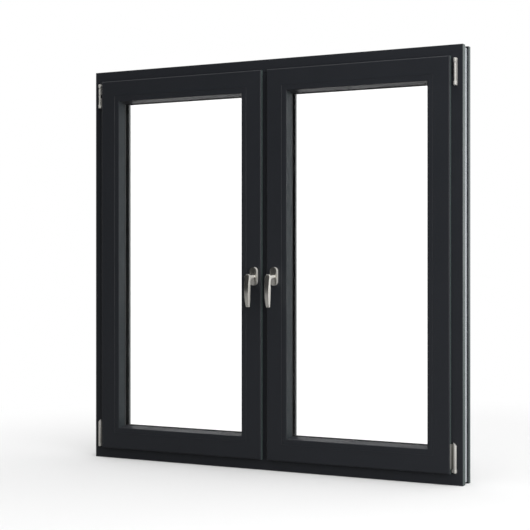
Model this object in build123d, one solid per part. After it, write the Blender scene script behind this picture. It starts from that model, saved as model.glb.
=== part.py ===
from build123d import *
import os

# A two-sash, inward-opening PVC window in its closed position, in millimetres.
# X runs along the window, Y from the room to the outside, and Z up.
# The origin is on the sill's underside, in the middle of the frame's front rib.
# A profile's outline is drawn as (inset, depth): inset is measured from the frame's outer
# edge towards the glass, and depth from the frame's room-side face towards the outside.

# Overall size
WINDOW_WIDTH = 1400
WINDOW_HEIGHT = 1400

# Frame profile
FRAME_DEPTH = 76
FRAME_LEG = 45
REBATE_HEIGHT = 24
OUTER_LEG_DEPTH = 24
DRAIN_WIDTH = 8
DRAIN_DROP = 4
DRAIN_SLOPE = 6
FRONT_RIB = 23
REAR_RIB = 19
CLIP_DEPTH = 6
CLIP_UNDERCUT = 1.5

# Sash profile, as deep as the frame
SASH_PROUD = 18
SASH_LAP = 8
SASH_FACE = 57
HARDWARE_GAP = 12
SEAL_GAP = 4
SHADOW_GAP = 6
GROOVE_WIDTH = 16
GROOVE_DEPTH = 3
GROOVE_OFFSET = 9

# Mullion
MULLION_FACE = 21.4

# Glazing bead
BEAD_FACE = 18
BEAD_RISE = 8
BEAD_DEPTH = 28
BEAD_FOOT_WIDTH = 5
BEAD_FOOT_DEPTH = 3.5
BEAD_FOOT_OFFSET = 12
BEAD_SEAT_DEPTH = 22
BEAD_BACK_HEIGHT = 14

# Double glazing
PANE = 4
CAVITY = 16
GASKET = 3
GASKET_HEIGHT = 12
GASKET_LIP = 1.2
GLASS_EDGE_GAP = 5
SPACER_HEIGHT = 11
GLASS_LEG_SLOPE = 4

# Walls of the hollow profiles
WALL = 3
WEB = 1.5

# Roundings
LAP_ROUND = 4
BEAD_ROUND = 3
EDGE_ROUND = 1.5
SEAM_BEVEL = 0.7

# Seals between sash and frame
SEAL_WIDTH = 5
SEAL_INSET = 2

# Handle
HANDLE_HEIGHT = 661
HANDLE_BACKSET = 27.7
HANDLE_SHIFT = 3.7
ROSETTE_WIDTH = 27
ROSETTE_HEIGHT = 65
ROSETTE_DEPTH = 12
ROSETTE_BEVEL = 2
SPINDLE_RADIUS = 5
SPINDLE_CLEARANCE = 0.3
NECK_HEIGHT = 8
NECK_GAP = 0.8
LEVER_TOP = 8.5
LEVER_DROP = 103.5
LEVER_REACH = 61
LEVER_WIDTH = 19
LEVER_THICKNESS = 13
LEVER_BEVEL = 2.4
BOW_DROP = 46
CROWN_RISE = 6
CROWN_ROUND = 3
CROOK_ROUND = 12
TIP_REACH = 52.5
TIP_WIDTH = 15
TIP_THICKNESS = 8.8

# Hinges
HINGE_OFFSET = 14
HINGE_REACH = 8.5
KNUCKLE_RADIUS = 5.3
SLEEVE_RADIUS = 3.6
TOP_HINGE_HEIGHT = 87
TOP_HINGE_INSET = 44
TOP_LUG = 11
LUG_TAPER = 4
BOTTOM_HINGE_INSET = 40
BEARING_HEIGHT = 13
BEARING_WING = 12
KNUCKLE_HEIGHT = 84
KNUCKLE_SLANT = 11
LEAF_HEIGHT = 79
LEAF_THICKNESS = 2.5
PLATE_THICKNESS = 2.5
PLATE_HEIGHT = 72
ARM_THICKNESS = 2.5
STAY_HEIGHT = 12
STAY_THICKNESS = 1.2
HINGE_CLEARANCE = 0.3

# Drain covers on the outside of the sill
DRAIN_COVERS = 3
COVER_LENGTH = 42
COVER_HEIGHT = 12
COVER_DEPTH = 3
COVER_INSET = 26

# Levels that follow from the sizes above
ROOM_FACE = -FRONT_RIB / 2
OUTER_LEG_TOP = FRAME_LEG + REBATE_HEIGHT
OUTER_LEG_FACE = FRAME_DEPTH - OUTER_LEG_DEPTH
LAP_EDGE = FRAME_LEG - SASH_LAP
SASH_FRONT = -SASH_PROUD
SASH_BACK = FRAME_DEPTH - SASH_PROUD
LAP_BACK = -SEAL_GAP
SASH_SHOULDER = OUTER_LEG_FACE - SEAL_GAP
SASH_BODY = FRAME_LEG + HARDWARE_GAP
GLAZING_FLOOR = LAP_EDGE + SASH_FACE
BEAD_EDGE = GLAZING_FLOOR + BEAD_FACE
BEAD_TIP = BEAD_EDGE + BEAD_RISE
BEAD_BACK = SASH_FRONT + BEAD_DEPTH
GLASS_FRONT = BEAD_BACK + GASKET
GLASS_BACK = GLASS_FRONT + PANE + CAVITY + PANE
LEG_FRONT = GLASS_BACK + GASKET
GLASS_EDGE = GLAZING_FLOOR + GLASS_EDGE_GAP
MULLION_HALF = MULLION_FACE / 2 + SASH_LAP
SASH_RUN = WINDOW_WIDTH / 2 + FRAME_LEG - MULLION_HALF


def outline(points):
    """A closed face from corners (inset, depth, radius), each rounded by its radius."""
    face = make_face(Polyline(*[(n, d) for n, d, r in points], close=True))
    for n, d, r in points:
        if r > 0:
            corner = face.vertices().sort_by_distance((n, d))[0]
            face = fillet(corner, r)
    return face


def chamber(n0, n1, d0, d1):
    """One hollow chamber of a profile, given by its two insets and two depths."""
    return Pos((n0 + n1) / 2, (d0 + d1) / 2) * Rectangle(n1 - n0, d1 - d0)


def bar(section, length):
    """A profile length along X, centred, with its inset running up Z."""
    upright = Plane(origin=(-length / 2, ROOM_FACE, 0), x_dir=(0, 0, 1), z_dir=(1, 0, 0))
    flipped = mirror(section, Plane.XZ)
    return extrude(upright * flipped, amount=length, dir=(1, 0, 0))


def mitre(length, height, front, back):
    """The block that a mitred length fills: it narrows at 45 degrees at both ends."""
    half = length / 2
    corners = [(-half, 0), (half, 0), (half - height, height), (-half + height, height)]
    side = make_face(Polyline(*corners, close=True))
    wall = Plane(origin=(0, ROOM_FACE + front, 0), x_dir=(1, 0, 0), z_dir=(0, -1, 0))
    return extrude(wall * side, amount=back - front, dir=(0, 1, 0))


def mitred(section, length):
    """A profile length along X, cut at 45 degrees at both ends."""
    box = section.bounding_box()
    block = mitre(length, box.max.X + 1, box.min.Y - 1, box.max.Y + 1)
    return bar(section, length) & block


def four_sides(section, width, height, centre):
    """The four mitred lengths of a rectangle, by side, round a point on the sill line."""
    x = centre
    z = height / 2
    return {
        "bottom": Pos(x, 0, 0) * mitred(section, width),
        "top": Pos(x, 0, height) * Rot(0, 180, 0) * mitred(section, width),
        "left": Pos(x - width / 2, 0, z) * Rot(0, 90, 0) * mitred(section, height),
        "right": Pos(x + width / 2, 0, z) * Rot(0, -90, 0) * mitred(section, height),
    }


def ring(section, width, height, centre):
    """The four lengths of a rectangle, welded into one loop."""
    sides = list(four_sides(section, width, height, centre).values())
    return sides[0].fuse(*sides[1:]).clean()


def rebate_side():
    """The corners of the frame profile that face the sash, from the room outwards."""
    drain_start = OUTER_LEG_FACE - DRAIN_WIDTH
    return [
        (FRAME_LEG, 0, EDGE_ROUND),
        (FRAME_LEG, drain_start - DRAIN_SLOPE, 0),
        (FRAME_LEG - DRAIN_DROP, drain_start, 0),
        (FRAME_LEG - DRAIN_DROP, OUTER_LEG_FACE, 0),
        (OUTER_LEG_TOP, OUTER_LEG_FACE, EDGE_ROUND),
        (OUTER_LEG_TOP, FRAME_DEPTH, BEAD_ROUND),
    ]


def clip_channel():
    """The corners of the undercut channel for wall anchors in the frame's outer edge."""
    start = FRAME_DEPTH - REAR_RIB
    return [
        (0, start, 0),
        (CLIP_DEPTH, start + CLIP_UNDERCUT, 0),
        (CLIP_DEPTH, FRONT_RIB - CLIP_UNDERCUT, 0),
        (0, FRONT_RIB, 0),
    ]


def frame_outline():
    """The frame profile without its chambers."""
    outer_edge = [(0, FRAME_DEPTH, EDGE_ROUND)] + clip_channel() + [(0, 0, EDGE_ROUND)]
    return outline(rebate_side() + outer_edge)


def frame_section():
    """The frame profile: a steel chamber, small chambers beside it and the outer leg."""
    low = CLIP_DEPTH + WALL
    high = FRAME_LEG - WALL
    steel_start = WALL + 10
    steel_end = OUTER_LEG_FACE - DRAIN_WIDTH - DRAIN_SLOPE
    drain_high = high - DRAIN_DROP
    return (
        frame_outline()
        - chamber(low, high, WALL, steel_start)
        - chamber(low, high, steel_start + WEB, steel_end)
        - chamber(low, drain_high, steel_end + WEB, OUTER_LEG_FACE)
        - chamber(low, drain_high, OUTER_LEG_FACE + WEB, FRAME_DEPTH - WALL)
        - chamber(drain_high + WEB, OUTER_LEG_TOP - WALL, OUTER_LEG_FACE + WALL, FRAME_DEPTH - WALL)
    )


def sash_section():
    """The sash profile: room-side lap, hardware groove, glazing rebate and outer leg."""
    groove_start = GROOVE_OFFSET
    groove_end = GROOVE_OFFSET + GROOVE_WIDTH
    foot_start = SASH_FRONT + BEAD_FOOT_OFFSET
    foot_end = foot_start + BEAD_FOOT_WIDTH
    whole = outline(
        [
            (LAP_EDGE, SASH_FRONT, LAP_ROUND),
            (GLAZING_FLOOR - SEAM_BEVEL, SASH_FRONT, 0),
            (GLAZING_FLOOR, SASH_FRONT + SEAM_BEVEL, 0),
            (GLAZING_FLOOR, foot_start, 0),
            (GLAZING_FLOOR - BEAD_FOOT_DEPTH, foot_start, 0),
            (GLAZING_FLOOR - BEAD_FOOT_DEPTH, foot_end, 0),
            (GLAZING_FLOOR, foot_end, 0),
            (GLAZING_FLOOR, LEG_FRONT, 0),
            (BEAD_TIP, LEG_FRONT, EDGE_ROUND / 2),
            (BEAD_TIP - GLASS_LEG_SLOPE, SASH_BACK, BEAD_ROUND),
            (OUTER_LEG_TOP + SHADOW_GAP, SASH_BACK, BEAD_ROUND),
            (OUTER_LEG_TOP + SHADOW_GAP, SASH_SHOULDER, 0),
            (SASH_BODY, SASH_SHOULDER, 0),
            (SASH_BODY, groove_end, 0),
            (SASH_BODY + GROOVE_DEPTH, groove_end, 0),
            (SASH_BODY + GROOVE_DEPTH, groove_start, 0),
            (SASH_BODY, groove_start, 0),
            (SASH_BODY, LAP_BACK, 0),
            (LAP_EDGE, LAP_BACK, EDGE_ROUND),
        ]
    )
    low = SASH_BODY + GROOVE_DEPTH + WALL
    high = GLAZING_FLOOR - BEAD_FOOT_DEPTH - WALL
    front = LAP_BACK
    steel_end = SASH_SHOULDER - WALL
    middle = groove_end - WALL
    leg_low = OUTER_LEG_TOP + SHADOW_GAP + WALL
    leg_high = BEAD_TIP - GLASS_LEG_SLOPE - WALL
    return (
        whole
        - chamber(LAP_EDGE + WALL + 1, low, SASH_FRONT + WALL, LAP_BACK - WALL)
        - chamber(low + WEB, high, SASH_FRONT + WALL, front)
        - chamber(low, high, front + WEB, middle)
        - chamber(low, high + BEAD_FOOT_DEPTH, middle + WEB, steel_end)
        - chamber(leg_low, leg_high, steel_end + WEB, SASH_BACK - WALL)
    )


def bead_section():
    """The glazing bead: flat face, long slope to the glass and a foot that clips in."""
    foot_start = SASH_FRONT + BEAD_FOOT_OFFSET
    foot_end = foot_start + BEAD_FOOT_WIDTH
    seat_end = SASH_FRONT + BEAD_SEAT_DEPTH
    back_low = BEAD_TIP - BEAD_BACK_HEIGHT
    whole = outline(
        [
            (GLAZING_FLOOR + SEAM_BEVEL, SASH_FRONT, 0),
            (BEAD_EDGE, SASH_FRONT, BEAD_ROUND),
            (BEAD_TIP, BEAD_BACK - EDGE_ROUND, EDGE_ROUND / 2),
            (BEAD_TIP - EDGE_ROUND, BEAD_BACK, 0),
            (back_low, BEAD_BACK, 0),
            (back_low, seat_end, 0),
            (GLAZING_FLOOR, seat_end, 0),
            (GLAZING_FLOOR, foot_end, 0),
            (GLAZING_FLOOR - BEAD_FOOT_DEPTH, foot_end, 0),
            (GLAZING_FLOOR - BEAD_FOOT_DEPTH, foot_start, 0),
            (GLAZING_FLOOR, foot_start, 0),
            (GLAZING_FLOOR, SASH_FRONT + SEAM_BEVEL, 0),
        ]
    )
    hollow = chamber(GLAZING_FLOOR + WEB + 1, BEAD_EDGE - WALL, SASH_FRONT + WALL, seat_end - WEB)
    return whole - hollow


def gasket_section(glass_side, holder_side):
    """A glazing gasket: it fills the gap beside the glass, and its lip shows past the bead."""
    low = BEAD_TIP - GASKET_HEIGHT
    corners = [
        (low, glass_side),
        (BEAD_TIP + GASKET_LIP, glass_side),
        (BEAD_TIP - GASKET_LIP, holder_side),
        (low, holder_side),
    ]
    return make_face(Polyline(*corners, close=True))


def seal_section(low, front):
    """A rubber seal that bridges the gap between sash and frame."""
    return chamber(low, low + SEAL_WIDTH, front, front + SEAL_GAP)


def mullion():
    """The fixed post between the sashes, its ends shaped to sit on the frame."""
    centre_line = FRAME_LEG - MULLION_HALF
    right = [(n - centre_line, d, r) for n, d, r in rebate_side()]
    left = [(-n, d, r) for n, d, r in reversed(right)]
    post = outline(right + left)
    half = MULLION_HALF - DRAIN_DROP - WALL
    steel_end = OUTER_LEG_FACE - WEB
    flange = MULLION_HALF + REBATE_HEIGHT - WALL
    post = (
        post
        - chamber(-half, half, WALL, steel_end)
        - chamber(-flange, flange, OUTER_LEG_FACE + WALL, FRAME_DEPTH - WALL)
    )
    flat = Plane(origin=(0, ROOM_FACE, 0), x_dir=(1, 0, 0), z_dir=(0, 0, 1))
    solid = extrude(flat * post, amount=WINDOW_HEIGHT)
    seat = [(n, d, 0) for n, d, r in rebate_side()]
    opposite = [(WINDOW_HEIGHT - n, d, 0) for n, d, r in reversed(seat)]
    return solid & bar(outline(seat + opposite), 2 * FRAME_LEG + WINDOW_WIDTH / 2)


def glass_pane(centre, front):
    """One pane of the sealed unit, clear of the rebate by the glass edge gap."""
    width = SASH_RUN - 2 * GLASS_EDGE
    height = WINDOW_HEIGHT - 2 * GLASS_EDGE
    middle = ROOM_FACE + front + PANE / 2
    return Pos(centre, middle, WINDOW_HEIGHT / 2) * Box(width, PANE, height)


def spacer_section():
    """The spacer bar between the two panes."""
    front = GLASS_FRONT + PANE
    return chamber(GLASS_EDGE, GLASS_EDGE + SPACER_HEIGHT, front, front + CAVITY)


def handle_plane(x, reach=0):
    """A plane parallel to the sash face, on a handle's spindle axis and facing the room."""
    face = ROOM_FACE + SASH_FRONT
    return Plane(origin=(x, face - reach, HANDLE_HEIGHT), x_dir=(1, 0, 0), z_dir=(0, -1, 0))


def rosette(x):
    """The handle's oval base plate with the bore that its spindle turns in."""
    oval = Rot(0, 0, 90) * SlotOverall(ROSETTE_HEIGHT, ROSETTE_WIDTH)
    plate = extrude(handle_plane(x) * oval, amount=ROSETTE_DEPTH)
    rim = plate.faces().sort_by(Axis.Y)[0].edges()
    plate = chamfer(rim, ROSETTE_BEVEL)
    bore = Circle(SPINDLE_RADIUS + SPINDLE_CLEARANCE)
    return plate - extrude(handle_plane(x) * bore, amount=ROSETTE_DEPTH)


def lever_side():
    """The lever's side view as (reach, rise): a flat neck that bends into a bowed grip."""
    neck_start = ROSETTE_DEPTH + NECK_GAP
    half = NECK_HEIGHT / 2
    shoulder = LEVER_REACH - LEVER_THICKNESS
    neck_top = (neck_start, half)
    neck_bottom = (neck_start, -half)
    rise = (shoulder - CROWN_RISE, half)
    crown = (shoulder, LEVER_TOP)
    bow = (LEVER_REACH, -BOW_DROP)
    tip = (TIP_REACH, -LEVER_DROP)
    tip_back = (TIP_REACH - TIP_THICKNESS, -LEVER_DROP)
    crook = (shoulder, -half)
    face = make_face(
        [
            Line(neck_top, rise),
            Line(rise, crown),
            TangentArc(bow, crown, tangent=(0, 1)),
            TangentArc(bow, tip, tangent=(0, -1)),
            Line(tip, tip_back),
            Line(tip_back, crook),
            Line(crook, neck_bottom),
            Line(neck_bottom, neck_top),
        ]
    )
    face = fillet(face.vertices().sort_by_distance(crown)[0], CROWN_ROUND)
    return fillet(face.vertices().sort_by_distance(crook)[0], CROOK_ROUND)


def lever_front():
    """The lever's front view: straight sides, from above the crown, that taper to the tip."""
    high = LEVER_TOP + CROWN_ROUND
    top = LEVER_WIDTH / 2
    tip = TIP_WIDTH / 2
    corners = [(-top, high), (top, high), (tip, -LEVER_DROP), (-tip, -LEVER_DROP)]
    return make_face(Polyline(*corners, close=True))


def lever(x):
    """The lever, bent from a flat bar that tapers to the tip, on its round spindle."""
    edge = handle_plane(x + LEVER_WIDTH / 2).origin
    upright = Plane(origin=edge, x_dir=(0, -1, 0), z_dir=(-1, 0, 0))
    blank = extrude(upright * lever_side(), amount=LEVER_WIDTH)
    grip = blank & extrude(handle_plane(x) * lever_front(), amount=LEVER_REACH)
    root = grip.faces().sort_by(Axis.Y)[-1].edges()
    grip = chamfer(grip.edges() - root, LEVER_BEVEL)
    spindle = Circle(SPINDLE_RADIUS)
    length = ROSETTE_DEPTH + NECK_GAP
    return grip + extrude(handle_plane(x, SPINDLE_CLEARANCE) * spindle, amount=length)


def hinge_axis(side):
    """Where a hinge's axis stands in plan, on the left (-1) or right (1) sash."""
    x = side * (WINDOW_WIDTH / 2 - LAP_EDGE + HINGE_OFFSET)
    return x, ROOM_FACE - HINGE_REACH


def hinge_block(side, low, high):
    """A round knuckle with a web back to the frame's face, between two heights."""
    x, y = hinge_axis(side)
    middle = (low + high) / 2
    knuckle = Pos(x, y, middle) * Cylinder(KNUCKLE_RADIUS, high - low)
    web = Pos(x, (y + ROOM_FACE) / 2, middle) * Box(2 * KNUCKLE_RADIUS, HINGE_REACH, high - low)
    return knuckle + web


def hinge_plate(side, low, high, width):
    """A flat plate on the frame's face behind a hinge."""
    x, y = hinge_axis(side)
    middle = (low + high) / 2
    return Pos(x, ROOM_FACE - PLATE_THICKNESS / 2, middle) * Box(width, PLATE_THICKNESS, high - low)


def top_hinge(side):
    """The frame bracket of the stay: a plate with a lug at each end, tapered to the sleeve."""
    x, y = hinge_axis(side)
    top = WINDOW_HEIGHT - TOP_HINGE_INSET
    low = top - TOP_HINGE_HEIGHT
    taper = Cone(KNUCKLE_RADIUS, SLEEVE_RADIUS, LUG_TAPER)
    upper = hinge_block(side, top - TOP_LUG, top)
    upper += Pos(x, y, top - TOP_LUG - LUG_TAPER / 2) * Rot(180, 0, 0) * taper
    lower = hinge_block(side, low, low + TOP_LUG)
    lower += Pos(x, y, low + TOP_LUG + LUG_TAPER / 2) * taper
    return upper + lower + hinge_plate(side, low, top, 2 * KNUCKLE_RADIUS)


def top_sleeve(side):
    """The sleeve of the sash stay, between the two lugs, with its arm under the sash's lap."""
    x, y = hinge_axis(side)
    middle = WINDOW_HEIGHT - TOP_HINGE_INSET - TOP_HINGE_HEIGHT / 2
    length = TOP_HINGE_HEIGHT - 2 * (TOP_LUG + LUG_TAPER)
    sleeve = Pos(x, y, middle) * Cylinder(SLEEVE_RADIUS, length)
    arm_width = HINGE_OFFSET + SEAL_INSET - HINGE_CLEARANCE
    arm_x = x - side * arm_width / 2
    arm_y = ROOM_FACE + LAP_BACK + STAY_THICKNESS / 2
    arm = Pos(arm_x, arm_y, middle) * Box(arm_width, STAY_THICKNESS, STAY_HEIGHT)
    web_depth = HINGE_REACH - SEAL_GAP + STAY_THICKNESS
    web = Pos(x, y + web_depth / 2, middle) * Box(ARM_THICKNESS, web_depth, STAY_HEIGHT)
    return sleeve + arm + web


def bottom_bearing(side):
    """The frame half of the corner hinge: a bearing, its wing and a plate behind the knuckle."""
    x, y = hinge_axis(side)
    seat = BOTTOM_HINGE_INSET + BEARING_HEIGHT
    block = hinge_block(side, BOTTOM_HINGE_INSET, seat)
    wing_x = x - side * BEARING_WING / 2
    wing_z = BOTTOM_HINGE_INSET + BEARING_HEIGHT / 2
    wing = Pos(wing_x, ROOM_FACE - PLATE_THICKNESS, wing_z) * Box(
        BEARING_WING, 2 * PLATE_THICKNESS, BEARING_HEIGHT - LEAF_THICKNESS
    )
    return block + wing + hinge_plate(side, BOTTOM_HINGE_INSET, seat + PLATE_HEIGHT, KNUCKLE_RADIUS)


def bottom_leaf(side):
    """The sash half of the corner hinge: a knuckle with a slanted top, and the leaf on the lap."""
    x, y = hinge_axis(side)
    low = BOTTOM_HINGE_INSET + BEARING_HEIGHT
    top = low + KNUCKLE_HEIGHT
    knuckle = Pos(x, y, (low + top) / 2) * Cylinder(KNUCKLE_RADIUS, KNUCKLE_HEIGHT)
    inner = x - side * KNUCKLE_RADIUS
    outer = x + side * KNUCKLE_RADIUS
    wedge = make_face(Polyline((inner, top), (outer, top), (outer, top - KNUCKLE_SLANT), close=True))
    wall = Plane(origin=(0, y, 0), x_dir=(1, 0, 0), z_dir=(0, -1, 0))
    knuckle -= extrude(wall * wedge, amount=KNUCKLE_RADIUS, both=True)
    arm_face = ROOM_FACE - PLATE_THICKNESS - HINGE_CLEARANCE
    lap_x = x - side * HINGE_OFFSET
    middle = low + LEAF_HEIGHT / 2
    leaf_depth = SASH_PROUD - LAP_ROUND - PLATE_THICKNESS - HINGE_CLEARANCE
    leaf = Pos(lap_x + side * LEAF_THICKNESS / 2, arm_face - leaf_depth / 2, middle) * Box(
        LEAF_THICKNESS, leaf_depth, LEAF_HEIGHT
    )
    arm = Pos(x - side * HINGE_OFFSET / 2, arm_face - ARM_THICKNESS / 2, middle) * Box(
        HINGE_OFFSET, ARM_THICKNESS, LEAF_HEIGHT
    )
    return knuckle + leaf + arm


def drain_covers():
    """The rain covers over the drain slots on the outside of the sill."""
    pitch = WINDOW_WIDTH / DRAIN_COVERS
    covers = []
    for i in range(DRAIN_COVERS):
        x = (i - (DRAIN_COVERS - 1) / 2) * pitch
        y = ROOM_FACE + FRAME_DEPTH + COVER_DEPTH / 2
        cover = Pos(x, y, COVER_INSET) * Box(COVER_LENGTH, COVER_DEPTH, COVER_HEIGHT)
        covers.append(cover)
    return Compound(children=covers)


def build():
    parts = {}
    frame = four_sides(frame_section(), WINDOW_WIDTH, WINDOW_HEIGHT, 0)
    parts["frame_sill"] = frame["bottom"]
    parts["frame_head"] = frame["top"]
    parts["frame_jamb_left"] = frame["left"]
    parts["frame_jamb_right"] = frame["right"]
    parts["mullion"] = mullion()
    for name, side in (("left", -1), ("right", 1)):
        centre = side * (WINDOW_WIDTH - SASH_RUN) / 2
        sash = four_sides(sash_section(), SASH_RUN, WINDOW_HEIGHT, centre)
        bead = four_sides(bead_section(), SASH_RUN, WINDOW_HEIGHT, centre)
        hinge_side, lock_side = ("left", "right") if side < 0 else ("right", "left")
        words = {"bottom": "bottom", "top": "top", hinge_side: "hinge", lock_side: "lock"}
        for key, word in words.items():
            kind = "rail" if key in ("bottom", "top") else "stile"
            parts[f"{name}_sash_{word}_{kind}"] = sash[key]
            parts[f"{name}_bead_{word}"] = bead[key]
        parts[f"{name}_glass_inner"] = glass_pane(centre, GLASS_FRONT)
        parts[f"{name}_glass_outer"] = glass_pane(centre, GLASS_FRONT + PANE + CAVITY)
        parts[f"{name}_glass_spacer"] = ring(spacer_section(), SASH_RUN, WINDOW_HEIGHT, centre)
        inner = ring(gasket_section(GLASS_FRONT, BEAD_BACK), SASH_RUN, WINDOW_HEIGHT, centre)
        outer = ring(gasket_section(GLASS_BACK, LEG_FRONT), SASH_RUN, WINDOW_HEIGHT, centre)
        parts[f"{name}_glazing_gaskets"] = Compound(children=[inner, outer])
        lap_seal = seal_section(LAP_EDGE + SEAL_INSET, LAP_BACK)
        leg_seal = seal_section(OUTER_LEG_TOP - SEAL_INSET - SEAL_WIDTH, SASH_SHOULDER)
        seals = [ring(seal, SASH_RUN, WINDOW_HEIGHT, centre) for seal in (lap_seal, leg_seal)]
        parts[f"{name}_sash_seals"] = Compound(children=seals)
        handle_x = side * (MULLION_FACE / 2 + HANDLE_BACKSET) + HANDLE_SHIFT
        parts[f"{name}_handle_rosette"] = rosette(handle_x)
        parts[f"{name}_handle_lever"] = lever(handle_x)
        parts[f"{name}_top_hinge_bracket"] = top_hinge(side)
        parts[f"{name}_top_hinge_sleeve"] = top_sleeve(side)
        parts[f"{name}_bottom_hinge_bearing"] = bottom_bearing(side)
        parts[f"{name}_bottom_hinge_leaf"] = bottom_leaf(side)
    parts["drain_covers"] = drain_covers()
    return parts


def main():
    os.makedirs("parts", exist_ok=True)
    for name, shape in build().items():
        export_step(shape, f"parts/{name}.step")


main()
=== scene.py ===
import bmesh
import bpy
import math
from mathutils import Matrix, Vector


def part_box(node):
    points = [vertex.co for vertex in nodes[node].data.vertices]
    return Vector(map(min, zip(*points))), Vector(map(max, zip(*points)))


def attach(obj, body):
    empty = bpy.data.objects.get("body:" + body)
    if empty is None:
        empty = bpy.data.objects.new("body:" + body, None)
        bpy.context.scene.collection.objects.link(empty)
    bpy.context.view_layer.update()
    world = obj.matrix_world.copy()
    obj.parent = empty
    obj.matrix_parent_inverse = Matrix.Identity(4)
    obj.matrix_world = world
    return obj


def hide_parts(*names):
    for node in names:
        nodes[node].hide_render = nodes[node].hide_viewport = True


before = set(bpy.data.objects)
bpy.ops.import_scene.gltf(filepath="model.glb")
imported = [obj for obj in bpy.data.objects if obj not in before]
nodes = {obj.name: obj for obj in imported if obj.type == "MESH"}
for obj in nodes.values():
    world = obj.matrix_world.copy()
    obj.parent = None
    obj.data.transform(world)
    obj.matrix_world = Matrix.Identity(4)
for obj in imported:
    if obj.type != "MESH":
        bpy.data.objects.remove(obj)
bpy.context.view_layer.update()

MM = 0.001
QUARTER_TURN = math.radians(90)

# Corners closer than this are one corner
WELD = 0.001 * MM

# Where things are, read from the frame
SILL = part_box("frame_sill")
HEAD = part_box("frame_head")
ROOM_FACE = SILL[0][1]
WIDTH = SILL[1][0] - SILL[0][0]
HEIGHT = HEAD[1][2]

# The clip channel's floor lies between these distances in from the window's edge
CHANNEL_SPAN = (4 * MM, 9 * MM)

# The photograph's camera: it stands level, to the right of the window, and looks to the left
CAMERA_X = 2.0406
CAMERA_DISTANCE = 3.9513
CAMERA_HEIGHT = 0.7068
CAMERA_TURN = math.radians(27.36)
FOCAL_PIXELS = 1305
PICTURE_PIXELS = 530
HORIZON_RISE = 2.2
SENSOR_MM = 36


def deselect():
    bpy.ops.object.select_all(action="DESELECT")


def add_camera():
    data = bpy.data.cameras.new("camera")
    data.sensor_width = SENSOR_MM
    data.lens = FOCAL_PIXELS / PICTURE_PIXELS * SENSOR_MM
    data.shift_y = -HORIZON_RISE / PICTURE_PIXELS
    camera = bpy.data.objects.new("camera", data)
    camera.location = (CAMERA_X, ROOM_FACE - CAMERA_DISTANCE, CAMERA_HEIGHT)
    camera.rotation_euler = (QUARTER_TURN, 0, CAMERA_TURN)
    bpy.context.collection.objects.link(camera)
    bpy.context.scene.camera = camera


# Sockets of the Mix node for colours, which share their names with those for other data
MIX_FACTOR = 0
MIX_FIRST = 6
MIX_SECOND = 7
MIX_RESULT = 2

# A noise mostly stays between these values
NOISE_SPAN = (0.3, 0.7)


def new_material(name):
    """A material with only its shader and output, ready for nodes."""
    material = bpy.data.materials.new(name)
    material.use_nodes = True
    tree = material.node_tree
    shader = tree.nodes["Principled BSDF"]
    return material, tree, shader


def add_node(tree, kind, **values):
    """A shader node, with its input sockets set by name."""
    node = tree.nodes.new(kind)
    for name, value in values.items():
        node.inputs[name.replace("_", " ")].default_value = value
    return node


def group_of(name, inputs, outputs):
    """A shader node group with named sockets, and the nodes for its inputs and outputs."""
    tree = bpy.data.node_groups.new(name, "ShaderNodeTree")
    for socket, kind, value in inputs:
        item = tree.interface.new_socket(socket, in_out="INPUT", socket_type=kind)
        if value is not None:
            item.default_value = value
    for socket, kind in outputs:
        tree.interface.new_socket(socket, in_out="OUTPUT", socket_type=kind)
    entry = tree.nodes.new("NodeGroupInput")
    leave = tree.nodes.new("NodeGroupOutput")
    return tree, entry, leave


def make_grain_group():
    """Fine surface grain with a slow drift in tone, as a height and a mask from 0 to 1."""
    tree, entry, leave = group_of(
        "fine_grain",
        [("Vector", "NodeSocketVector", None), ("Grain", "NodeSocketFloat", 1500.0),
         ("Drift", "NodeSocketFloat", 6.0)],
        [("Height", "NodeSocketFloat"), ("Mask", "NodeSocketFloat")],
    )
    grain = add_node(tree, "ShaderNodeTexNoise", Detail=3.0, Roughness=0.6)
    drift = add_node(tree, "ShaderNodeTexNoise", Detail=4.0, Roughness=0.55)
    tree.links.new(entry.outputs["Vector"], grain.inputs["Vector"])
    tree.links.new(entry.outputs["Grain"], grain.inputs["Scale"])
    tree.links.new(entry.outputs["Vector"], drift.inputs["Vector"])
    tree.links.new(entry.outputs["Drift"], drift.inputs["Scale"])
    tree.links.new(grain.outputs["Fac"], leave.inputs["Height"])
    tree.links.new(drift.outputs["Fac"], leave.inputs["Mask"])
    return tree


GRAIN = make_grain_group()


def place_group(tree, group, **values):
    """A node group in a material, with its inputs set by name."""
    node = tree.nodes.new("ShaderNodeGroup")
    node.node_tree = group
    for name, value in values.items():
        node.inputs[name].default_value = value
    return node


def calculate(tree, operation, *sources):
    """The result of a math node on one or two sources."""
    node = tree.nodes.new("ShaderNodeMath")
    node.operation = operation
    for socket, source in zip(node.inputs, sources):
        tree.links.new(source, socket)
    return node.outputs[0]


def along(tree, vector, axis):
    """One axis of a vector."""
    axes = tree.nodes.new("ShaderNodeSeparateXYZ")
    tree.links.new(vector, axes.inputs[0])
    return axes.outputs[axis]


def ramp(tree, source, start, end, low, high, kind="SMOOTHSTEP"):
    """A value that goes from low to high while the source goes from start to end."""
    node = tree.nodes.new("ShaderNodeMapRange")
    node.interpolation_type = kind
    for name, value in (("From Min", start), ("From Max", end), ("To Min", low), ("To Max", high)):
        node.inputs[name].default_value = value
    tree.links.new(source, node.inputs["Value"])
    return node.outputs["Result"]


def spread(tree, noise, low, high):
    """A noise, mapped to a range."""
    return ramp(tree, noise, *NOISE_SPAN, low, high, kind="LINEAR")


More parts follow.
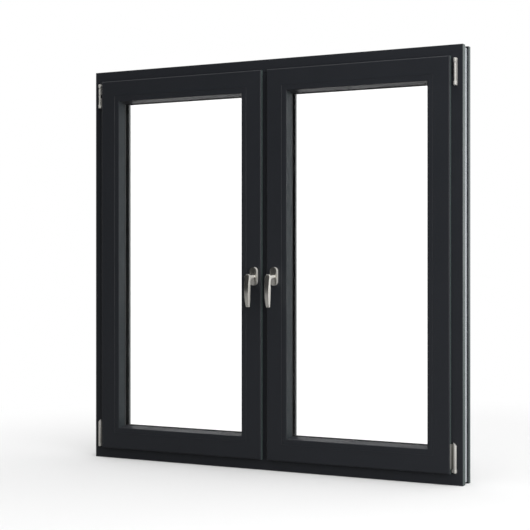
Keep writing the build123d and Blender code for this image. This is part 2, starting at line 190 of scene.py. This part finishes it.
def blend_colours(tree, factor, first, second):
    """A blend of two colours, each given as three numbers or as the output of another node."""
    node = tree.nodes.new("ShaderNodeMix")
    node.data_type = "RGBA"
    for index, colour in ((MIX_FIRST, first), (MIX_SECOND, second)):
        if isinstance(colour, tuple):
            node.inputs[index].default_value = (*colour, 1)
        else:
            tree.links.new(colour, node.inputs[index])
    tree.links.new(factor, node.inputs[MIX_FACTOR])
    return node.outputs[MIX_RESULT]


# Materials
RELIEF_STRENGTH = 0.35
BRUSHED = (1, 1, 0.12)
METAL_GRAIN = 900.0
METAL_RELIEF = 0.02 * MM
SIDE_FACING = (0.944, 0.99)
# Painted highlight: faces that turn left or right get this lighter tone in place of the bright
# reflection they show
PAINTED_SIDE_HIGHLIGHT = (0.058, 0.081, 0.078)
# Painted highlight: the clip channel's floor gets this pale tone in place of a bright reflection
PAINTED_CHANNEL_HIGHLIGHT = (0.50, 0.53, 0.55)
FOIL_IOR = 1.29
FOIL_SHEEN = 0.07
SHEEN_ROUGHNESS = 0.4
RUBBER_SPECULAR = 0.25
SPACER_METALLIC = 0.85
GLASS_IOR = 1.45
DUST_ROUGHNESS = 0.012


def grained(name, first, second, rough, grain, relief, stretch=(1, 1, 1)):
    """A material whose tone, gloss and fine relief all vary a little over the surface."""
    material, tree, shader = new_material(name)
    place = tree.nodes.new("ShaderNodeTexCoord")
    mapping = add_node(tree, "ShaderNodeMapping", Scale=stretch)
    tree.links.new(place.outputs["Object"], mapping.inputs["Vector"])
    surface = place_group(tree, GRAIN, Grain=grain)
    tree.links.new(mapping.outputs["Vector"], surface.inputs["Vector"])
    colour = blend_colours(tree, surface.outputs["Mask"], first, second)
    tree.links.new(colour, shader.inputs["Base Color"])
    gloss = spread(tree, surface.outputs["Mask"], *rough)
    tree.links.new(gloss, shader.inputs["Roughness"])
    bump = add_node(tree, "ShaderNodeBump", Strength=RELIEF_STRENGTH, Distance=relief)
    tree.links.new(surface.outputs["Height"], bump.inputs["Height"])
    tree.links.new(bump.outputs["Normal"], shader.inputs["Normal"])
    return material, shader


def side_faces(tree, place):
    """A mask that rises where the surface turns to face left or right."""
    turn = calculate(tree, "ABSOLUTE", along(tree, place.outputs["Normal"], "X"))
    return ramp(tree, turn, *SIDE_FACING, 0, 1)


def channel_inset(tree, place):
    """A mask of the clip channel's floor, where the window's edge is set back a few millimetres."""
    reach = calculate(tree, "ABSOLUTE", along(tree, place.outputs["Object"], "X"))
    near, far = WIDTH / 2 - CHANNEL_SPAN[1], WIDTH / 2 - CHANNEL_SPAN[0]
    inner = ramp(tree, reach, near, near + MM, 0, 1)
    outer = ramp(tree, reach, far - MM, far, 1, 0)
    return calculate(tree, "MULTIPLY", inner, outer)


def anthracite():
    """Anthracite foil, with a lighter tone painted on the profile's side faces as a highlight, and a
    pale painted highlight on the clip channel's floor.
    """
    material, shader = grained(
        "anthracite_profile", (0.0212, 0.0232, 0.0276), (0.0244, 0.0265, 0.0316),
        rough=(0.30, 0.38), grain=2200.0, relief=0.03 * MM,
    )
    tree = material.node_tree
    place = tree.nodes.new("ShaderNodeTexCoord")
    sideways = side_faces(tree, place)
    channel_highlight = calculate(tree, "MULTIPLY", channel_inset(tree, place), sideways)
    foil = shader.inputs["Base Color"].links[0].from_socket
    # Painted highlight on the faces that turn left or right
    side_highlighted = blend_colours(tree, sideways, foil, PAINTED_SIDE_HIGHLIGHT)
    # Painted highlight on the clip channel's floor
    channel_highlighted = blend_colours(tree, channel_highlight, side_highlighted, PAINTED_CHANNEL_HIGHLIGHT)
    tree.links.new(channel_highlighted, shader.inputs["Base Color"])
    shader.inputs["IOR"].default_value = FOIL_IOR
    shader.inputs["Sheen Weight"].default_value = FOIL_SHEEN
    shader.inputs["Sheen Roughness"].default_value = SHEEN_ROUGHNESS
    return material


def nickel(name, first, second, rough, metallic=1.0):
    """The plated or coated metal of the handles and hinges, with a fine upright grain."""
    material, shader = grained(name, first, second, rough, METAL_GRAIN, METAL_RELIEF, BRUSHED)
    shader.inputs["Metallic"].default_value = metallic
    return material


def rubber():
    """The dull black rubber of the seals and gaskets."""
    material, shader = grained(
        "gasket_rubber", (0.024, 0.025, 0.026), (0.031, 0.032, 0.033),
        rough=(0.5, 0.65), grain=1200.0, relief=0.03 * MM,
    )
    shader.inputs["Specular IOR Level"].default_value = RUBBER_SPECULAR
    return material


def spacer_metal():
    """The grey metal of the bar between the panes."""
    material, shader = grained(
        "spacer_metal", (0.30, 0.31, 0.32), (0.36, 0.37, 0.38),
        rough=(0.35, 0.5), grain=800.0, relief=0.02 * MM,
    )
    shader.inputs["Metallic"].default_value = SPACER_METALLIC
    return material


def clear_glass():
    """Float glass, nearly clear, with faint dust on its surface."""
    material, tree, shader = new_material("clear_glass")
    shader.inputs["Base Color"].default_value = (1, 1, 1, 1)
    shader.inputs["Transmission Weight"].default_value = 1.0
    shader.inputs["IOR"].default_value = GLASS_IOR
    place = tree.nodes.new("ShaderNodeTexCoord")
    surface = place_group(tree, GRAIN, Grain=300.0, Drift=3.0)
    tree.links.new(place.outputs["Object"], surface.inputs["Vector"])
    rough = spread(tree, surface.outputs["Mask"], 0.0, DUST_ROUGHNESS)
    tree.links.new(rough, shader.inputs["Roughness"])
    return material


PROFILE = anthracite()
METAL = nickel("satin_nickel", (0.64, 0.625, 0.58), (0.71, 0.69, 0.65), (0.20, 0.28))
# Painted highlight: a lighter, rougher, partly diffuse copy of the satin nickel for the handles'
# faces that turn away from the room
SIDE_HIGHLIGHT_NICKEL = nickel(
    "side_highlight_nickel", (0.82, 0.80, 0.75), (0.89, 0.87, 0.82), (0.45, 0.55), metallic=0.45
)
MATT = nickel(
    "matt_nickel", (0.50, 0.49, 0.46), (0.57, 0.56, 0.53), (0.50, 0.60), metallic=0.4
)
LEAF_GREY = nickel(
    "leaf_grey", (0.25, 0.25, 0.23), (0.30, 0.30, 0.28), (0.45, 0.55), metallic=0.4
)
# Painted shade: a darker copy of the nickel for the bottom hinge's arm
SHADED = nickel("shaded_nickel", (0.22, 0.22, 0.20), (0.28, 0.27, 0.25), (0.45, 0.55))
# Painted shade: a near-black copy of the nickel for the top hinge's stay arm, which sits in shade
PAINTED_SHADE_STEEL = nickel("painted_shade_steel", (0.030, 0.031, 0.032), (0.045, 0.046, 0.047), (0.40, 0.52))
RUBBER = rubber()
SPACER = spacer_metal()
GLASS = clear_glass()


def material_for(name):
    """The material of a node of the frame, by its name."""
    if "gasket" in name or "seals" in name:
        return RUBBER
    if "spacer" in name:
        return SPACER
    if "glass" in name:
        return GLASS
    if "handle" in name or "top_hinge" in name or "bottom_hinge" in name:
        return METAL
    return PROFILE


for name, node in nodes.items():
    node.data.materials.clear()
    node.data.materials.append(material_for(name))

# How squarely a face must look along an axis to be picked, as its normal's share of that axis
SQUARELY = 0.9
MOSTLY = 0.8
PARTLY = 0.5

# How round pieces are drawn, and how edges are rounded and shaded
ROUND_SIDES = 32
SHARP_ANGLE = math.radians(35)
SMOOTH_ANGLE = math.radians(40)

# Handles, in millimetres: reach is measured from the sash's face and rise from the spindle
ROSETTE_SIDES = 48
ROSETTE_EDGE = 1.1
ROSETTE_TRIM = 1.5
BORE_RADIUS = 5.3
BORE_MARGIN = 0.1
END_MARGIN = 0.01
SPINDLE_SIDE = 5
LEVER_WIDTH = 16.8
LEVER_TIP_WIDTH = 11
LEVER_TOP = 7.0
LEVER_DROP = 103.5
CROWN_CORNER = 7.5
CROWN_FLAT = 6.6
CROWN_REACH = 52.5
BOW_REACH = 61
BOW_DROP = 54
TIP_REACH = 52.5
TIP_THICKNESS = 7.6
NECK_TOP = 0.5
NECK_THICKNESS = 7
NECK_CLIMB = 3
NECK_CLIMB_SHARES = (0.5, 0.35, 0.15)
NECK_START = 12.8
NECK_MARGIN = 0.5
SPINDLE_GAP = 0.5
SHOULDER_REACH = 45.5
CROOK_ROUND = 12
CROOK_STEPS = 5
LEVER_EDGE = 3.0
GRIP_RISES = (6.1, 3, 0.5, -6.5, -18.5, -27, -36, -45, -54, -64, -74, -84, -94, -103.5)
TAPER_POWER = 2.2


def box_piece(name, low, high):
    """A box between two corners, in millimetres, with its mesh open for editing."""
    deselect()
    bpy.ops.mesh.primitive_cube_add(size=1)
    piece = bpy.context.object
    piece.name = name
    piece.location = [(a + b) / 2 * MM for a, b in zip(low, high)]
    piece.scale = [(b - a) * MM for a, b in zip(low, high)]
    bpy.ops.object.transform_apply(location=True, rotation=True, scale=True)
    bpy.ops.object.mode_set(mode="EDIT")
    bpy.ops.mesh.select_mode(type="FACE")
    return piece


def round_piece(name, centre, radius, low, high):
    """An upright cylinder between two heights, in millimetres, open for editing."""
    deselect()
    bpy.ops.mesh.primitive_cylinder_add(
        vertices=ROUND_SIDES, radius=radius * MM, depth=(high - low) * MM,
        location=(centre[0] * MM, centre[1] * MM, (low + high) / 2 * MM),
    )
    piece = bpy.context.object
    piece.name = name
    bpy.ops.object.transform_apply(location=True, rotation=True, scale=True)
    bpy.ops.object.mode_set(mode="EDIT")
    bpy.ops.mesh.select_mode(type="FACE")
    return piece


def pick_faces(piece, test):
    """Selects the faces whose centre, in millimetres, and normal pass a test."""
    bpy.ops.mesh.select_all(action="DESELECT")
    mesh = bmesh.from_edit_mesh(piece.data)
    for face in mesh.faces:
        face.select_set(test(face.calc_center_median() / MM, face.normal))
    bmesh.update_edit_mesh(piece.data)


def pick_edges(piece, test):
    """Selects the edges whose two ends, in millimetres, both pass a test."""
    bpy.ops.mesh.select_mode(type="EDGE")
    bpy.ops.mesh.select_all(action="DESELECT")
    mesh = bmesh.from_edit_mesh(piece.data)
    for edge in mesh.edges:
        edge.select_set(all(test(end.co / MM) for end in edge.verts))
    bmesh.update_edit_mesh(piece.data)


def push_out(x=0, y=0, z=0):
    """Extrudes what is selected by a distance in millimetres."""
    bpy.ops.mesh.extrude_region_move(TRANSFORM_OT_translate={"value": (x * MM, y * MM, z * MM)})


def slide(x=0, y=0, z=0):
    """Moves what is selected by a distance in millimetres."""
    bpy.ops.transform.translate(value=(x * MM, y * MM, z * MM))


def stretch(centre, x=1, y=1, z=1):
    """Scales what is selected about a centre in millimetres."""
    bpy.ops.transform.resize(value=(x, y, z), center_override=[part * MM for part in centre])


def round_edges(piece, width, segments=3):
    """Closes the edit and rounds the piece's sharp edges."""
    bpy.ops.mesh.select_mode(type="VERT")
    bpy.ops.mesh.select_all(action="SELECT")
    bpy.ops.mesh.normals_make_consistent(inside=False)
    bpy.ops.object.mode_set(mode="OBJECT")
    rounding = piece.modifiers.new("rounding", "BEVEL")
    rounding.width = width * MM
    rounding.segments = segments
    rounding.limit_method = "ANGLE"
    rounding.angle_limit = SHARP_ANGLE
    bpy.ops.object.modifier_apply(modifier=rounding.name)
    bpy.ops.object.shade_smooth_by_angle(angle=SMOOTH_ANGLE)


def fuse(piece, *others):
    """Joins closed solids into one surface."""
    for other in others:
        deselect()
        bpy.context.view_layer.objects.active = piece
        piece.select_set(True)
        union = piece.modifiers.new("union", "BOOLEAN")
        union.operation = "UNION"
        union.object = other
        bpy.ops.object.modifier_apply(modifier=union.name)
        bpy.data.objects.remove(other)
    bpy.ops.object.shade_smooth_by_angle(angle=SMOOTH_ANGLE)


def finish(piece, material, body, *replaced):
    """Gives a piece its material and body, and hides the nodes that it stands for."""
    piece.data.materials.clear()
    piece.data.materials.append(material)
    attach(piece, body)
    if replaced:
        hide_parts(*replaced)


def copy_of(piece, name, shift=0, mirror=False):
    """A copy with its own mesh, moved along the window or mirrored about its middle."""
    deselect()
    twin = piece.copy()
    twin.data = piece.data.copy()
    twin.name = name
    bpy.context.collection.objects.link(twin)
    bpy.context.view_layer.objects.active = twin
    twin.select_set(True)
    if mirror:
        twin.scale = (-1, 1, 1)
    twin.location = (shift * MM, 0, 0)
    bpy.ops.object.transform_apply(location=True, rotation=True, scale=True)
    if mirror:
        bpy.ops.object.mode_set(mode="EDIT")
        bpy.ops.mesh.select_all(action="SELECT")
        bpy.ops.mesh.remove_doubles(threshold=WELD)
        bpy.ops.mesh.normals_make_consistent(inside=False)
        bpy.ops.object.mode_set(mode="OBJECT")
    return twin


def rosette(name, x, z, face):
    """The oval base plate of a handle, with a rounded rim and the spindle's bore."""
    low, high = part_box("left_handle_rosette")
    depth = (high[1] - low[1]) / MM
    radius = (high[0] - low[0]) / MM / 2
    half_straight = (high[2] - low[2]) / MM / 2 - radius - ROSETTE_TRIM / 2
    radius -= ROSETTE_TRIM / 2
    deselect()
    bpy.ops.mesh.primitive_cylinder_add(
        vertices=ROSETTE_SIDES, radius=radius * MM, depth=depth * MM, end_fill_type="NOTHING",
    )
    piece = bpy.context.object
    piece.name = name
    piece.rotation_euler = (QUARTER_TURN, math.pi / ROSETTE_SIDES, 0)
    piece.location = (x * MM, (face - depth / 2) * MM, z * MM)
    bpy.ops.object.transform_apply(location=True, rotation=True, scale=True)
    bpy.ops.object.mode_set(mode="EDIT")
    for way in (1, -1):
        pick_edges(piece, lambda end: (end.z - z) * way > 0)
        slide(z=way * half_straight)
    for y in (face, face - depth):
        bpy.ops.mesh.select_all(action="DESELECT")
        bpy.ops.mesh.primitive_circle_add(
            vertices=ROSETTE_SIDES, radius=BORE_RADIUS * MM,
            location=(x * MM, y * MM, z * MM), rotation=(QUARTER_TURN, 0, 0),
        )
        pick_edges(piece, lambda end: abs(end.y - y) < END_MARGIN)
        bpy.ops.mesh.bridge_edge_loops()
    pick_edges(piece, lambda end: math.hypot(end.x - x, end.z - z) < BORE_RADIUS + BORE_MARGIN)
    bpy.ops.mesh.bridge_edge_loops()
    round_edges(piece, ROSETTE_EDGE, segments=4)
    return piece


def arc_reach(rise):
    """How far the grip's front stands out at a rise: two arcs that meet upright at the bow."""
    end_rise, end_reach = (LEVER_TOP, CROWN_REACH) if rise > -BOW_DROP else (-LEVER_DROP, TIP_REACH)
    length = end_rise + BOW_DROP
    sag = BOW_REACH - end_reach
    radius = (length ** 2 + sag ** 2) / (2 * sag)
    return BOW_REACH - radius + math.sqrt(radius ** 2 - (rise + BOW_DROP) ** 2)


def grip_section(rise):
    """The grip's half width, front and back at a rise: round shoulders, then a slow taper."""
    share = (LEVER_TOP - rise) / (LEVER_TOP + LEVER_DROP)
    half = (LEVER_WIDTH + (LEVER_TIP_WIDTH - LEVER_WIDTH) * share ** TAPER_POWER) / 2
    into_crown = rise - (LEVER_TOP - CROWN_CORNER)
    if into_crown > 0:
        half -= CROWN_CORNER - math.sqrt(CROWN_CORNER ** 2 - min(into_crown, CROWN_FLAT) ** 2)
    back = SHOULDER_REACH + (TIP_REACH - TIP_THICKNESS - SHOULDER_REACH) * share
    return half, arc_reach(rise), back


def lever(name, x, z, face):
    """The lever: a bowed grip drawn down ring by ring, then its neck and spindle drawn back."""
    wide, near, far = grip_section(LEVER_TOP)
    before = GRIP_RISES[0]
    piece = box_piece(
        name, (x - wide, face - near, z + before), (x + wide, face - far, z + LEVER_TOP)
    )
    pick_faces(piece, lambda centre, normal: normal.z < -SQUARELY)
    for rise in GRIP_RISES:
        if rise != before:
            push_out(z=rise - before)
        half, front, back = grip_section(rise)
        middle = (x, face - (near + far) / 2, z + rise)
        stretch(middle, x=half / wide, y=(front - back) / (near - far))
        slide(y=(near + far) / 2 - (front + back) / 2)
        wide, near, far, before = half, front, back, rise
    crook_low = NECK_TOP - NECK_THICKNESS - CROOK_ROUND
    pick_faces(
        piece,
        lambda centre, normal: normal.y > MOSTLY and crook_low < centre.z - z < NECK_TOP,
    )
    top = (x, 0, z + NECK_TOP)
    height = NECK_TOP - crook_low
    reach = SHOULDER_REACH
    for step in range(1, CROOK_STEPS + 1):
        angle = QUARTER_TURN * step / CROOK_STEPS
        next_reach = SHOULDER_REACH - CROOK_ROUND * (1 - math.cos(angle))
        next_height = NECK_THICKNESS + CROOK_ROUND * (1 - math.sin(angle))
        push_out(y=reach - next_reach)
        stretch(top, z=next_height / height)
        reach, height = next_reach, next_height
    for share in NECK_CLIMB_SHARES:
        push_out(y=(reach - NECK_START) / len(NECK_CLIMB_SHARES), z=share * NECK_CLIMB)
    root = face - NECK_START
    pick_faces(
        piece, lambda centre, normal: centre.y > root - NECK_MARGIN and normal.y > PARTLY
    )
    bpy.ops.mesh.dissolve_faces()
    push_out()
    middle = NECK_TOP + NECK_CLIMB - NECK_THICKNESS / 2
    stretch((x, root, z + middle), x=SPINDLE_SIDE / LEVER_WIDTH, z=SPINDLE_SIDE / NECK_THICKNESS)
    slide(z=-middle)
    push_out(y=NECK_START - SPINDLE_GAP)
    round_edges(piece, LEVER_EDGE, segments=4)
    return piece


def paint_side_highlight(piece):
    """Gives every face but those that mostly look into the room a lighter, rougher copy of the
    nickel, a painted highlight on the sides.
    """
    piece.data.materials.append(SIDE_HIGHLIGHT_NICKEL)
    for face in piece.data.polygons:
        if face.normal.y > -MOSTLY:
            face.material_index = 1


def add_handles():
    """Both handles, each on its own body: the right one is a copy, moved along the window."""
    low, high = [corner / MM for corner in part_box("left_handle_rosette")]
    x, z, face = (low.x + high.x) / 2, (low.z + high.z) / 2, high.y
    right_low, right_high = [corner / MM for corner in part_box("right_handle_rosette")]
    shift = (right_low.x + right_high.x) / 2 - x
    plates = [rosette("left_handle_plate", x, z, face)]
    plates.append(copy_of(plates[0], "right_handle_plate", shift=shift))
    levers = [lever("left_lever", x, z, face)]
    levers.append(copy_of(levers[0], "right_lever", shift=shift))
    for side, plate, turning in zip(("left", "right"), plates, levers):
        finish(plate, METAL, "root", side + "_handle_rosette")
        finish(turning, METAL, side + "_handle", side + "_handle_lever")
        # Painted highlight on the faces that turn away from the room
        paint_side_highlight(plate)
        paint_side_highlight(turning)


# Hinges, in millimetres
LUG_HEIGHT = 11
LUG_TAPER = 4
LUG_DOME = 1.4
DOME_SHARE = 0.72
PIN_RADIUS = 3.6
BEARING_RADIUS = 5.3
HINGE_PLATE = 2.5
HINGE_EDGE = 0.6
ARM_EDGE = 0.3
WEB_INSET = 1
STAY_HALF = 6
STAY_DEPTHS = (-15.5, -14.3)
STAY_WEB = 1.25
STAY_WEB_GAP = 0.4
FOOT_HEIGHT = 13
FOOT_SEAM = 0.4
WING_INSETS = (1.2, 1.3)
COVER_HEIGHT = 84
COVER_SLANT = 11
LEAF_TOP = 79
LEAF_WRAP = 1.6
ARM_LAP = 0.5


def dome(piece, axis, way):
    """Draws the upper (1) or lower (-1) end of a round piece into a low dome, and rounds it."""
    pick_faces(piece, lambda centre, normal: normal.z * way > SQUARELY)
    slide(z=-way * LUG_DOME)
    push_out(z=way * LUG_DOME)
    stretch((axis[0], axis[1], 0), x=DOME_SHARE, y=DOME_SHARE)
    round_edges(piece, HINGE_EDGE)


def lug(axis, radius, low, high, inner):
    """A round lug with a domed end, and a taper towards the pin on its inner side."""
    piece = round_piece("lug", axis, radius, low, high)
    pick_faces(piece, lambda centre, normal: normal.z * inner > SQUARELY)
    push_out(z=inner * LUG_TAPER)
    end = high if inner > 0 else low
    stretch((axis[0], axis[1], end), x=PIN_RADIUS / radius, y=PIN_RADIUS / radius)
    dome(piece, axis, -inner)
    return piece


def plain_box(name, low, high, edge=HINGE_EDGE):
    """A box between two corners, in millimetres, with rounded edges."""
    piece = box_piece(name, low, high)
    round_edges(piece, edge, segments=2)
    return piece


def top_hinge():
    """The frame's bracket with its two lugs, the pin's sleeve and the stay arm, which is darkened
    with painted shade.
    """
    low, high = [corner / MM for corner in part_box("right_top_hinge_bracket")]
    radius = (high.x - low.x) / 2
    axis = ((low.x + high.x) / 2, low.y + radius)
    bracket = plain_box(
        "right_top_bracket", (low.x, high.y - HINGE_PLATE, low.z), (high.x, high.y, high.z)
    )
    parts = []
    for start, end, inner in (
        (high.z - LUG_HEIGHT, high.z, -1), (low.z, low.z + LUG_HEIGHT, 1)
    ):
        parts.append(lug(axis, radius, start, end, inner))
        parts.append(plain_box(
            "web", (low.x + WEB_INSET, axis[1], start + WEB_INSET),
            (high.x - WEB_INSET, high.y - WEB_INSET, end - WEB_INSET),
        ))
    fuse(bracket, *parts)
    sleeve_low, sleeve_high = [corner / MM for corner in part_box("right_top_hinge_sleeve")]
    sleeve = round_piece("right_top_sleeve", axis, PIN_RADIUS, sleeve_low.z, sleeve_high.z)
    round_edges(sleeve, HINGE_EDGE)
    middle = (sleeve_low.z + sleeve_high.z) / 2
    arm = plain_box(
        "right_stay_arm", (sleeve_low.x, STAY_DEPTHS[0], middle - STAY_HALF),
        (axis[0], STAY_DEPTHS[1], middle + STAY_HALF), ARM_EDGE,
    )
    web = plain_box(
        "web", (axis[0] - STAY_WEB, axis[1] + WEB_INSET, middle - STAY_HALF + WEB_INSET),
        (axis[0] + STAY_WEB, STAY_DEPTHS[1] - STAY_WEB_GAP, middle + STAY_HALF - WEB_INSET),
        ARM_EDGE,
    )
    fuse(arm, web)
    return bracket, sleeve, arm


def bottom_hinge():
    """The frame's bearing with its plate, and the sash's slant-topped cover, leaf and arm, the arm
    darkened with painted shade.
    """
    low, high = [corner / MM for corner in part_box("right_bottom_hinge_bearing")]
    leaf_low, leaf_high = [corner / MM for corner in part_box("right_bottom_hinge_leaf")]
    radius = BEARING_RADIUS
    axis = (high.x - radius, low.y + radius)
    seat = low.z + FOOT_HEIGHT
    bearing = round_piece("right_bottom_bearing", axis, radius, low.z, seat - FOOT_SEAM)
    dome(bearing, axis, -1)
    wing = plain_box(
        "wing", (low.x, high.y - 2 * HINGE_PLATE, low.z + WING_INSETS[0]),
        (axis[0], high.y, seat - WING_INSETS[1]),
    )
    web = plain_box(
        "web", (axis[0] - radius + WEB_INSET, axis[1], low.z + WEB_INSET),
        (high.x - WEB_INSET, high.y - WEB_INSET, seat - WEB_INSET),
    )
    plate = plain_box(
        "plate", (axis[0] - radius / 2, high.y - HINGE_PLATE, low.z + WEB_INSET),
        (axis[0] + radius / 2, high.y, high.z),
    )
    fuse(bearing, wing, web, plate)
    top = seat + COVER_HEIGHT
    cover = round_piece("right_bottom_cover", axis, radius, seat, top)
    bpy.ops.mesh.select_all(action="SELECT")
    bpy.ops.mesh.bisect(
        plane_co=((axis[0] - radius) * MM, 0, top * MM), plane_no=(COVER_SLANT, 0, 2 * radius),
        use_fill=True, clear_outer=True,
    )
    round_edges(cover, HINGE_EDGE)
    leaf = plain_box(
        "right_bottom_leaf", (leaf_low.x - LEAF_WRAP, leaf_low.y - LEAF_WRAP, seat),
        (leaf_low.x + HINGE_PLATE, leaf_high.y, seat + LEAF_TOP),
    )
    arm = plain_box(
        "right_leaf_arm",
        (leaf_low.x + HINGE_PLATE - ARM_LAP, leaf_high.y - HINGE_PLATE, seat),
        (axis[0], leaf_high.y, seat + LEAF_TOP), ARM_EDGE,
    )
    return bearing, cover, leaf, arm


def add_hinges():
    """The right hinges, and their mirrored copies on the left."""
    bracket, sleeve, stay_arm = top_hinge()
    bearing, cover, leaf, leaf_arm = bottom_hinge()
    hinge_pieces = (
        (bracket, MATT, ("top_hinge_bracket",)), (sleeve, MATT, ("top_hinge_sleeve",)),
        (stay_arm, PAINTED_SHADE_STEEL, ()), (bearing, MATT, ("bottom_hinge_bearing",)),
        (cover, MATT, ("bottom_hinge_leaf",)), (leaf, LEAF_GREY, ()), (leaf_arm, SHADED, ()),
    )
    for piece, material, replaced in hinge_pieces:
        twin = copy_of(piece, piece.name.replace("right", "left"), mirror=True)
        finish(piece, material, "root", *["right_" + node for node in replaced])
        finish(twin, material, "root", *["left_" + node for node in replaced])


# The floor: its tone as seen, as mirrored and as it lights the window, and its fade to white
FLOOR_SIZE = 60
FLOOR_ALBEDO = 0.785
FLOOR_MIRRORED = 0.31
FLOOR_BOUNCE = 0.16
FLOOR_LIFT = 0.14
FADE_CENTRE = (0.6, -0.1, 0)
FADE_START = 1.0
FADE_END = 2.8

# White's strength as the camera sees it, straight and through the glass
WHITE = 1.0
THROUGH_GLASS = 1.22

# The world's strength as it lights the window, and where it changes along each axis
IN_FRONT = 0.035
BEHIND = 1.0
ABOVE = 0.9
BESIDE = 1.6
FRONT_TO_BACK = (-0.35, 0.1)
UP_OR_BESIDE = (0.45, 0.85)

# Lamps: name, place, what it points at, width and height in metres, and power in watts
WINDOW_MIDDLE = (0, 0, HEIGHT / 2)
LAMPS = (
    ("right_softbox", (2.65, -2.4, 1.1), WINDOW_MIDDLE, 2.4, 2.4, 66),
    ("rear_softbox", (2.7, 3.6, 0.9), (WIDTH / 2, 0, 0.7), 0.9, 1.7, 12),
    ("overhead", (0.8, -0.8, 4.2), WINDOW_MIDDLE, 2.5, 2.5, 60),
)


def grey(level):
    return (level, level, level)


def eye_rays(tree):
    """The light path, a mask of what the camera sees, also through glass, and white's strength."""
    path = tree.nodes.new("ShaderNodeLightPath")
    through = path.outputs["Is Transmission Ray"]
    seen = calculate(tree, "MAXIMUM", path.outputs["Is Camera Ray"], through)
    return path, seen, ramp(tree, through, 0, 1, WHITE, THROUGH_GLASS)


def add_floor():
    """A pale floor that keeps the window's shadow and turns white with distance."""
    bpy.ops.mesh.primitive_plane_add(size=FLOOR_SIZE, location=(0, 0, 0))
    floor = bpy.context.object
    floor.name = "floor"
    material = bpy.data.materials.new("floor")
    material.use_nodes = True
    tree = material.node_tree
    tree.nodes.clear()
    path, seen, strength = eye_rays(tree)
    glossy = path.outputs["Is Glossy Ray"]
    unseen = blend_colours(tree, glossy, grey(FLOOR_BOUNCE), grey(FLOOR_MIRRORED))
    tone = blend_colours(tree, seen, unseen, grey(FLOOR_ALBEDO))
    diffuse = tree.nodes.new("ShaderNodeBsdfDiffuse")
    tree.links.new(tone, diffuse.inputs["Color"])
    glow = add_node(tree, "ShaderNodeEmission", Color=(1, 1, 1, 1))
    tree.links.new(strength, glow.inputs["Strength"])
    place = tree.nodes.new("ShaderNodeTexCoord")
    distance = tree.nodes.new("ShaderNodeVectorMath")
    distance.operation = "DISTANCE"
    distance.inputs[1].default_value = FADE_CENTRE
    tree.links.new(place.outputs["Object"], distance.inputs[0])
    fade = ramp(tree, distance.outputs["Value"], FADE_START, FADE_END, FLOOR_LIFT, 1)
    amount = calculate(tree, "MULTIPLY", fade, path.outputs["Is Camera Ray"])
    white = calculate(tree, "MAXIMUM", amount, path.outputs["Is Transmission Ray"])
    both = tree.nodes.new("ShaderNodeMixShader")
    out = tree.nodes.new("ShaderNodeOutputMaterial")
    tree.links.new(white, both.inputs["Fac"])
    tree.links.new(diffuse.outputs[0], both.inputs[1])
    tree.links.new(glow.outputs[0], both.inputs[2])
    tree.links.new(both.outputs[0], out.inputs["Surface"])
    floor.data.materials.append(material)


def add_world():
    """White to the camera; to the object bright behind, above and to the right, dim in front."""
    world = bpy.data.worlds.new("studio")
    bpy.context.scene.world = world
    world.use_nodes = True
    tree = world.node_tree
    tree.nodes.clear()
    way = tree.nodes.new("ShaderNodeTexCoord").outputs["Generated"]
    level = ramp(tree, along(tree, way, "Y"), *FRONT_TO_BACK, IN_FRONT, BEHIND)
    for axis, strength in (("Z", ABOVE), ("X", BESIDE)):
        part = ramp(tree, along(tree, way, axis), *UP_OR_BESIDE, 0, strength)
        level = calculate(tree, "MAXIMUM", level, part)
    light = add_node(tree, "ShaderNodeBackground", Color=(1, 1, 1, 1))
    tree.links.new(level, light.inputs["Strength"])
    plain = add_node(tree, "ShaderNodeBackground", Color=(1, 1, 1, 1))
    seen, white = eye_rays(tree)[1:]
    tree.links.new(white, plain.inputs["Strength"])
    choose = tree.nodes.new("ShaderNodeMixShader")
    tree.links.new(seen, choose.inputs["Fac"])
    tree.links.new(light.outputs[0], choose.inputs[1])
    tree.links.new(plain.outputs[0], choose.inputs[2])
    out = tree.nodes.new("ShaderNodeOutputWorld")
    tree.links.new(choose.outputs[0], out.inputs["Surface"])


def add_lamp(name, location, target, width, height, power):
    """A soft rectangular lamp that points at a target."""
    data = bpy.data.lights.new(name, "AREA")
    data.shape = "RECTANGLE"
    data.size = width
    data.size_y = height
    data.energy = power
    lamp = bpy.data.objects.new(name, data)
    lamp.location = location
    direction = Vector(target) - Vector(location)
    lamp.rotation_euler = direction.to_track_quat("-Z", "Y").to_euler()
    bpy.context.collection.objects.link(lamp)


add_handles()
add_hinges()
deselect()
add_camera()
add_floor()
add_world()
for lamp in LAMPS:
    add_lamp(*lamp)
bpy.context.scene.view_settings.view_transform = "Standard"
